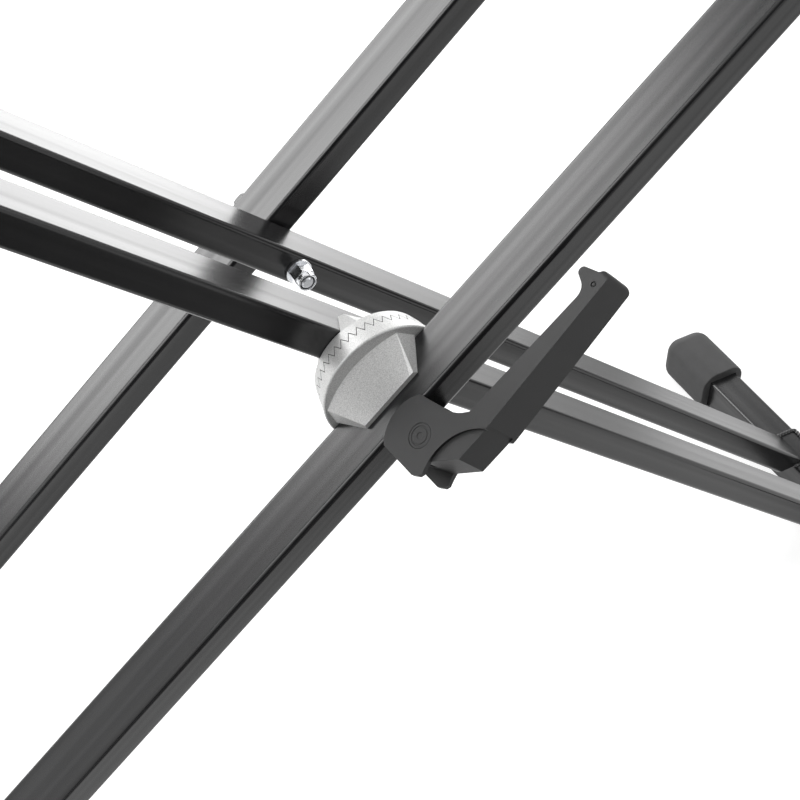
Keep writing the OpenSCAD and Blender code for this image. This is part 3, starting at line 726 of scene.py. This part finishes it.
# %% [markdown]
# ## Weld beads
# Each leg is cut flat and welded to its two bars. A bead of weld is a row of
# overlapping drops, so its thickness goes up and down along its path. A curve
# carries a radius at each of its points, which gives those ripples, and then
# it becomes a mesh. The powder coat covers it like the rest.

# %% Beads round the eight leg ends
bead_half_width, bead_radius, bead_corner = 14.2 * MM, 2.3 * MM, 3 * MM
clear_of_leg, drop_length = 0.4 * MM, 1.1 * MM
ripple = (1.0, 0.94, 0.8)


def bead_path(half_x, half_y):
    """Points a drop's length apart round a rectangle with rounded corners."""
    ring = bmesh.new()
    bmesh.ops.create_grid(ring, x_segments=1, y_segments=1, size=1)
    bmesh.ops.scale(ring, vec=(half_x, half_y, 1), verts=ring.verts)
    bmesh.ops.bevel(
        ring, geom=ring.verts[:], offset=bead_corner, offset_type="OFFSET", segments=4,
        profile=0.5, affect="VERTICES", material=-1,
    )
    turns = [vert.co.copy() for vert in next(iter(ring.faces)).verts]
    ring.free()
    path = []
    for start, end in zip(turns, turns[1:] + turns[:1]):
        parts = max(1, round((end - start).length / drop_length))
        path += [start.lerp(end, part / parts) for part in range(parts)]
    return path


def weld_bead(name, body, leg, bar, height):
    """A rippled bead round the flat end of a leg, on the face of its bar."""
    leg_box, bar_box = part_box(leg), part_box(bar)
    middle_y = (leg_box[0].y + leg_box[1].y) / 2
    middle_x = (bar_box[0].x + bar_box[1].x) / 2
    path = bead_path(bead_half_width, (leg_box[1].y - leg_box[0].y) / 2 + clear_of_leg)
    curve = bpy.data.curves.new(name, "CURVE")
    curve.dimensions = "3D"
    curve.bevel_depth, curve.bevel_resolution = bead_radius, 3
    spline = curve.splines.new("POLY")
    spline.points.add(len(path) - 1)
    spline.use_cyclic_u = True
    for number, (point, at) in enumerate(zip(spline.points, path)):
        point.co = (middle_x + at.x, middle_y + at.y, height, 1)
        point.radius = ripple[number % len(ripple)]
    holder = place_in_scene(name, curve)
    evaluated = holder.evaluated_get(bpy.context.evaluated_depsgraph_get())
    solid = bpy.data.meshes.new_from_object(evaluated)
    mesh = bmesh.new()
    mesh.from_mesh(solid)
    bpy.data.meshes.remove(solid)
    bpy.data.objects.remove(holder)
    bpy.data.curves.remove(curve)
    show(mesh, name, body, [powder_coat])


for pair in ("outer", "inner"):
    foot_bar, top_bar = f"{pair}_foot_bar", f"{pair}_top_bar"
    for end_name in ("front", "rear"):
        leg = f"{end_name}_{pair}_leg"
        weld_bead(f"{leg}_low_bead", f"{pair}_frame", leg, foot_bar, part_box(foot_bar)[1].z)
        weld_bead(f"{leg}_high_bead", f"{pair}_frame", leg, top_bar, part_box(top_bar)[0].z)

# %% [markdown]
# ## Floor and light
# The photograph is a white studio shot. The floor is plain and pale, and it is
# lifted to white only for the rays that see it, straight or in a reflection,
# so that it neither lights the stand too much nor loses its soft shadow. It is
# a flat sheet without any shine, and so are the cards that come later.

# %% Pale floor
floor_side, floor_shade, floor_lift = 14, 0.6, 0.62


def dull_finish(name, shade, roughness):
    """A finish of one grey that mirrors nothing."""
    material, _, shader = bare_finish(name)
    shader.inputs["Base Color"].default_value = (shade, shade, shade, 1)
    shader.inputs["Roughness"].default_value = roughness
    shader.inputs["Specular IOR Level"].default_value = 0.0
    return material


def flat_sheet(name, width, height, finish, matrix=Matrix.Identity(4)):
    """A flat sheet of the studio round the origin, moved by a matrix."""
    mesh = bmesh.new()
    bmesh.ops.create_grid(mesh, x_segments=1, y_segments=1, size=0.5)
    bmesh.ops.scale(mesh, vec=(width, height, 1), verts=mesh.verts)
    bmesh.ops.transform(mesh, matrix=matrix, verts=mesh.verts)
    data = as_data(mesh, name)
    data.materials.append(finish)
    return place_in_scene(name, data)


def sees_background(tree):
    """1 for camera, glossy and transmission rays, 0 for the rays that light things."""
    path = tree.nodes.new("ShaderNodeLightPath")
    total = path.outputs["Is Camera Ray"]
    for name in ("Is Glossy Ray", "Is Transmission Ray"):
        add = tree.nodes.new("ShaderNodeMath")
        add.operation = "MAXIMUM"
        tree.links.new(total, add.inputs[0])
        tree.links.new(path.outputs[name], add.inputs[1])
        total = add.outputs["Value"]
    return total


pale_floor = dull_finish("pale_floor", floor_shade, 0.9)
tree = pale_floor.node_tree
shader = tree.nodes["Principled BSDF"]
shader.inputs["Emission Color"].default_value = (1, 1, 1, 1)
lift = tree.nodes.new("ShaderNodeMath")
lift.operation = "MULTIPLY"
lift.inputs[1].default_value = floor_lift
tree.links.new(sees_background(tree), lift.inputs[0])
tree.links.new(lift.outputs["Value"], shader.inputs["Emission Strength"])
floor = flat_sheet("floor", floor_side, floor_side, pale_floor)
print("floor of", round(floor.dimensions.x, 1), "m")

# %% [markdown]
# Black satin tubes are drawn by what they reflect. Mirroring the camera's view
# in the top face of each leg says where a softbox has to stand to put a long
# highlight there: one behind and to the left for the outer legs, one low
# behind and to the right for the inner legs. Two more, high on either side,
# model the clutch and the lever, which scatter light instead of mirroring it.

# %% Softboxes
def looking(place, target, front):
    """A matrix that moves to a place and turns one axis to a target, Y upwards."""
    look = (Vector(target) - Vector(place)).to_track_quat(front, "Y")
    return Matrix.Translation(Vector(place)) @ look.to_matrix().to_4x4()


def softbox(name, place, target, width, height, radiance):
    """An area lamp of even brightness, facing a point, hidden from the camera."""
    data = bpy.data.lights.new(name, "AREA")
    data.shape = "RECTANGLE"
    data.size, data.size_y = width, height
    data.energy = math.pi * width * height * radiance
    lamp = place_in_scene(name, data)
    lamp.matrix_world = looking(place, target, "-Z")
    lamp.visible_camera = False


softbox("box_back_left", (-0.82, 1.45, 1.22), pivot, 1.25, 1.3, 6.0)
softbox("box_back_right", (1.12, 1.5, 0.6), pivot, 1.15, 1.1, 3.8)
softbox("box_right", (1.6, -0.6, 1.9), pivot, 1.2, 1.2, 3.0)
softbox("box_left", (-1.7, 0.0, 1.9), pivot, 1.2, 1.2, 5.2)

# %% [markdown]
# White surroundings would also shine in the faces that look at the
# photographer and turn them grey. A studio keeps such faces dark with cards.
# Black ones behind the camera, under it and on the right draw the dark lines
# along the rounded edges of the legs; two grey ones on the floor tone down
# the front faces. Glossy rays alone see them, so they take no light away.

# %% Dark cards that only reflections see
card_black = dull_finish("card_black", 0.03, 1.0)
card_grey = dull_finish("card_grey", 0.22, 1.0)
card_pale = dull_finish("card_pale", 0.4, 1.0)


def dark_card(name, place, target, width, height, finish):
    """A dark card that only reflections show."""
    card = flat_sheet(name, width, height, finish, looking(place, target, "Z"))
    card.visible_camera = card.visible_diffuse = card.visible_shadow = card.visible_transmission = False
    return card


cards = [
    dark_card("card_floor", (-0.24, -0.85, 0.004), (-0.24, -0.85, 1), 1.12, 0.7, card_grey),
    dark_card("card_far_floor", (-0.24, -1.7, 0.004), (-0.24, -1.7, 1), 1.6, 1.0, card_black),
    dark_card("card_side", (0.7, 0.46, 0.004), (0.7, 0.46, 1), 0.5, 0.28, card_pale),
    dark_card("card_front", (-0.9, -2.2, 1.2), pivot, 2.6, 2.4, card_black),
    dark_card("card_right", (2.4, -0.75, 0.45), pivot, 1.5, 0.85, card_black),
]
print("cards:", [card.name for card in cards])

# %% [markdown]
# The sky is white wherever it is seen, and gives a third of that as light,
# because the softboxes do the rest. The picture's colours are left as they are
# computed, without a film curve, so that white stays white.

# %% Sky and plain colours
sky_light, sky_seen = 0.35, 1.0
sky = bpy.data.worlds.new("sky")
bpy.context.scene.world = sky
sky.use_nodes = True
tree = sky.node_tree
background = tree.nodes["Background"]
background.inputs["Color"].default_value = (1, 1, 1, 1)
strength = tree.nodes.new("ShaderNodeMapRange")
strength.inputs["To Min"].default_value = sky_light
strength.inputs["To Max"].default_value = sky_seen
tree.links.new(sees_background(tree), strength.inputs["Value"])
tree.links.new(strength.outputs["Result"], background.inputs["Strength"])
bpy.context.scene.view_settings.view_transform = "Standard"
print("sky gives", sky_light, "as light and shows", sky_seen)

# %% [markdown]
# Nothing that was added reaches beyond the imported pieces, so the stand's box is still theirs.

# %% Finish
print("the stand is dressed")
